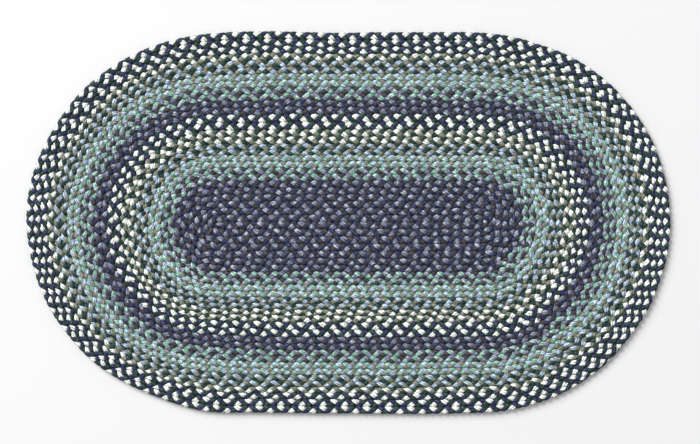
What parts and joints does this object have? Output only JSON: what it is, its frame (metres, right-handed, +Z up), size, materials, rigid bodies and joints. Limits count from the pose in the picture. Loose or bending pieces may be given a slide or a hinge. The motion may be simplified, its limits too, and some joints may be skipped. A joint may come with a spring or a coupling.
{
  "type": "oval braided rug",
  "caption": "Oval rug of one long three-strand braid, coiled flat from a straight middle row, in banded blue, green, brown and cream yarn.",
  "frame": {"origin": "middle of the rug's outline, on the floor under its flat underside", "axes": "+X along the rug's length, +Y across it towards the top edge of the picture, +Z up from the floor"},
  "size_m": [1.1444, 0.682, 0.0095],
  "materials": {
    "jute_yarn": "matt braided jute yarn, in bands of navy, slate, brown, aqua, light blue, dark green, tan and cream"
  },
  "bodies": {
    "root": {"braided_rug": "jute_yarn"}
  },
  "joints": []
}
